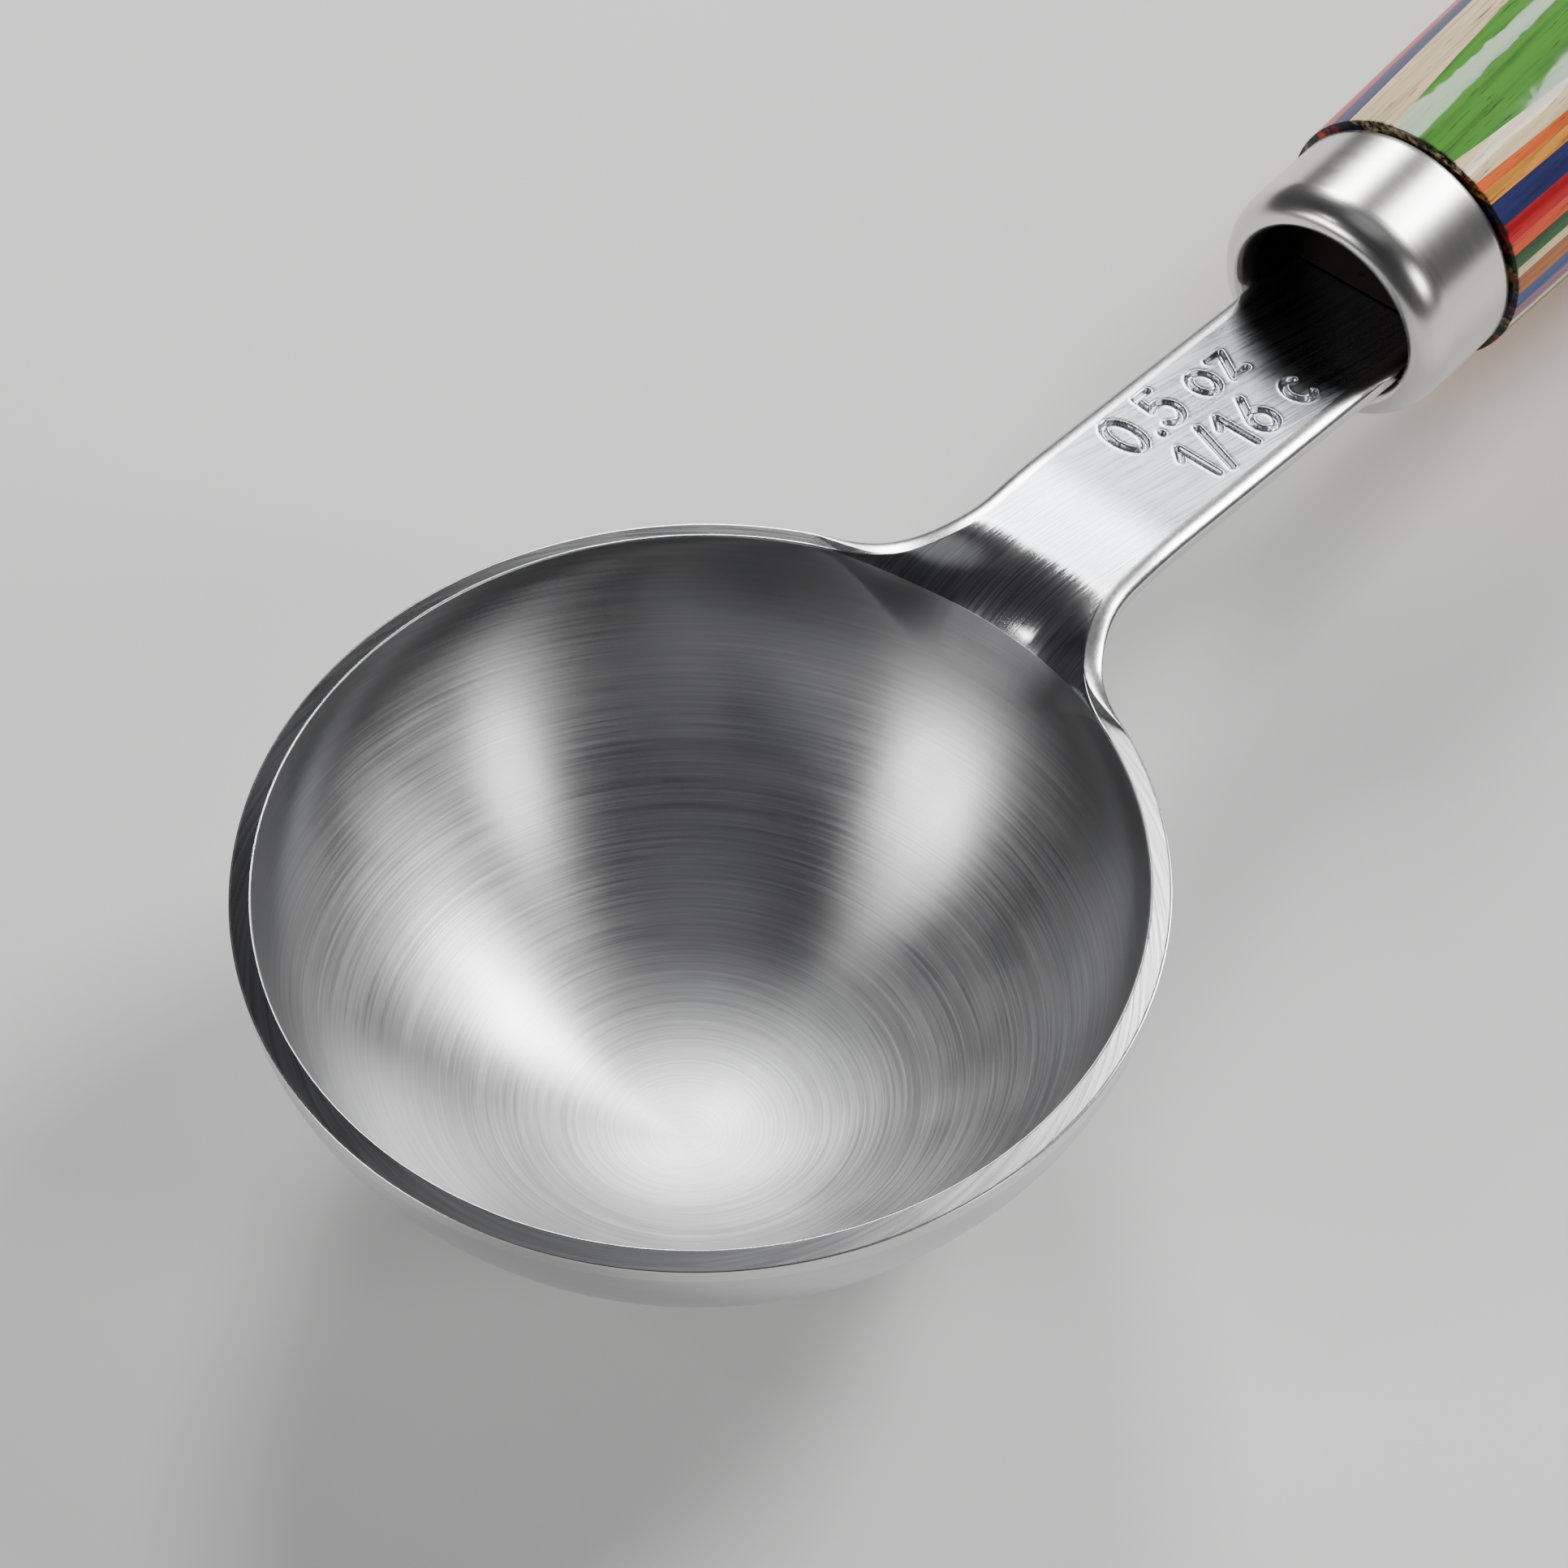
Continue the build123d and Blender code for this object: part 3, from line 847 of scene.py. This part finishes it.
def dyed_wood(name, dye, shift):
    """Wood in one dye, under a clear coat."""
    recipe = Recipe("wood_" + name)
    place = recipe.vector("ADD", recipe.place, (shift * 13.7, shift * 5.1, 0.0))
    grain = recipe.noise(recipe.vector("MULTIPLY", place, GRAIN), 1.0, 4.0, 0.6)
    pores = recipe.noise(recipe.vector("MULTIPLY", place, PORES), 1.0, 2.0, 0.6)
    cloud = recipe.noise(place, 0.1, 2.0)
    dark = tuple(c * 0.6 for c in dye) + (1,)
    light = tuple(min(c * 1.1, 1) for c in dye) + (1,)
    colour = recipe.mix(recipe.step(grain, 0.3, 0.6), dark, light)
    colour = recipe.mix(recipe.step(cloud, 0.3, 0.7, 0.0, 0.25), colour, dark)
    colour = recipe.mix(recipe.step(pores, 0.62, 0.7, 0.0, 0.7), colour, PORE)
    # Burnt seam behind the ferrule, and painted shade: the wood inside the ferrule is painted
    # black.
    ragged = recipe.plus(recipe.x, recipe.times(grain, 0.5))
    burnt_seam_and_shade = recipe.step(ragged, *BURNT_AND_SHADE_ENDS, 1.0, 0.0)
    return recipe.set(
        Base_Color=recipe.mix(burnt_seam_and_shade, colour, BURNT_AND_SHADE_BLACK),
        Roughness=0.6,
        Specular_IOR_Level=0.15,
        Coat_Weight=recipe.step(recipe.x, *COAT_BEGINS, 0.0, 0.4),
        Coat_Roughness=0.06,
        Normal=recipe.bump(pores, 0.02, 0.3),
    )


for number, (name, dye) in enumerate(DYES.items()):
    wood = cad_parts[name]
    wood.data.materials.clear()
    wood.data.materials.append(dyed_wood(name[4:], dye, number))
print("last veneer wears", wood.data.materials[0].name)

# %% [markdown]
# The spoon stands on a pale board, touching it at the bottom of the bowl and near the end of
# the handle. The spoon could be tipped instead, but then it would leave the frame of its parts.
# So the board leans a little against the rim. It is part of the stage, not of the spoon.

# %% Floor
lowest, highest = (np.array(corner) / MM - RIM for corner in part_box("ply_21_amber"))
tail_x, tail_z = highest[0] - 5.5, lowest[2] + 0.75  # where the rounded end touches
span = math.hypot(tail_x, tail_z - BASE_UP)
lean = math.atan2(tail_z - BASE_UP, tail_x) + math.asin(BASE / span)
foot = (np.array([BASE * math.sin(lean), 0, BASE_UP - BASE * math.cos(lean)]) + RIM) * MM
mesh = bpy.data.meshes.new("board")
mesh.from_pydata([(-2, -2, 0), (2, -2, 0), (2, 2, 0), (-2, 2, 0)], [], [(0, 1, 2, 3)])
board = bpy.data.objects.new("pale_board", mesh)
bpy.context.scene.collection.objects.link(board)
board.matrix_world = Matrix.Translation(Vector(foot)) @ Matrix.Rotation(-lean, 4, "Y")
recipe = Recipe("pale_board")
tone = recipe.noise(recipe.place, 0.02, 3.0)
pale = recipe.mix(tone, (0.80, 0.80, 0.79, 1), (0.86, 0.86, 0.85, 1))
board.data.materials.append(recipe.set(Base_Color=pale, Roughness=0.6))
print("floor leans", round(math.degrees(lean), 2), "degrees")

# %% [markdown]
# The camera looks down at the bowl from about a hand's length away, with the handle running off
# the upper right of the picture. Its place, turn and lens were fitted to the rim, the neck and
# the ferrule, so they are given as measured numbers and not aimed by eye.

# %% Camera
AZIMUTH, ELEVATION, ROLL = math.radians(-49.38), math.radians(51.17), math.radians(0.30)
CAMERA_AT = np.array([-95.407, -87.047, 166.827])
back = Vector((
    math.sin(AZIMUTH) * math.cos(ELEVATION),
    -math.cos(AZIMUTH) * math.cos(ELEVATION),
    math.sin(ELEVATION),
))
right = back.cross(Vector((0, 0, 1))).normalized() * -1
axes = Matrix((right, back.cross(right), back)).transposed().to_4x4()
lens = bpy.data.cameras.new("camera")
lens.sensor_width = 36.0
lens.lens = 102.48
lens.clip_start = 0.01
camera = bpy.data.objects.new("camera", lens)
stand = Matrix.Translation(Vector((CAMERA_AT + RIM) * MM))
camera.matrix_world = stand @ axes @ Matrix.Rotation(-ROLL, 4, "Z")
bpy.context.scene.collection.objects.link(camera)
bpy.context.scene.camera = camera
print("camera at", [round(value, 4) for value in camera.location])

# %% [markdown]
# Polished metal shows its surroundings, so the light is a set of soft boxes, each in the place
# where the steel needs something bright. The side panel throws the shadow on the board. The
# key panel lights the neck and the middle of the swirl. The low panel and the front lamp make
# the two wedges of light inside the bowl, and the small back lamp the glint on the brow.

# %% Soft boxes
LIGHT_FAR = 0.8
AIM = Vector((-0.03, 0.0, 0.0))


def soft_box(name, azimuth, elevation, size, power):
    """A bright panel that faces the spoon, in a direction given in degrees."""
    light = bpy.data.lights.new(name, "AREA")
    light.shape = "RECTANGLE"
    light.size, light.size_y = size
    light.energy = power
    a, e = math.radians(azimuth), math.radians(elevation)
    way = Vector((math.sin(a) * math.cos(e), math.cos(a) * math.cos(e), math.sin(e)))
    place = way * LIGHT_FAR
    facing = (place - AIM).to_track_quat("Z", "Y").to_matrix().to_4x4()
    thing = bpy.data.objects.new(name, light)
    thing.matrix_world = Matrix.Translation(place) @ facing
    bpy.context.scene.collection.objects.link(thing)
    print(name, "gives", power, "watts")


soft_box("key_panel", 46, 42, (0.22, 0.25), 4.0)
soft_box("side_panel", 106, 44, (0.30, 0.22), 6.2)
soft_box("low_panel", -63, 23, (0.34, 0.15), 2.2)
soft_box("back_lamp", -51, 42, (0.05, 0.05), 0.14)
soft_box("front_lamp", 176, 30, (0.18, 0.22), 1.5)

# %% [markdown]
# Between the soft boxes the steel has to mirror something dark. A plain grey world would wash
# it out, so the sky is a ramp over the height: dim at the horizon, darker above, and bright
# only in a small cap overhead.

# %% Sky
world = bpy.data.worlds.new("studio")
bpy.context.scene.world = world
world.use_nodes = True
sky = world.node_tree
height = sky.nodes.new("ShaderNodeSeparateXYZ")
sky.links.new(sky.nodes.new("ShaderNodeTexCoord").outputs["Generated"], height.inputs[0])
ramp = sky.nodes.new("ShaderNodeValToRGB")
sky.links.new(height.outputs["Z"], ramp.inputs[0])
stops = ramp.color_ramp.elements
stops[0].position = 0.45
stops[0].color = (0.06, 0.06, 0.063, 1)
stops[1].position = 0.68
stops[1].color = (0.03, 0.03, 0.035, 1)
for place, grey in ((0.93, 0.04), (0.98, 0.3)):
    stops.new(place).color = (grey, grey, 1.05 * grey, 1)
sky.links.new(ramp.outputs[0], sky.nodes["Background"].inputs["Color"])
print("stops in the sky:", len(stops))

# %% [markdown]
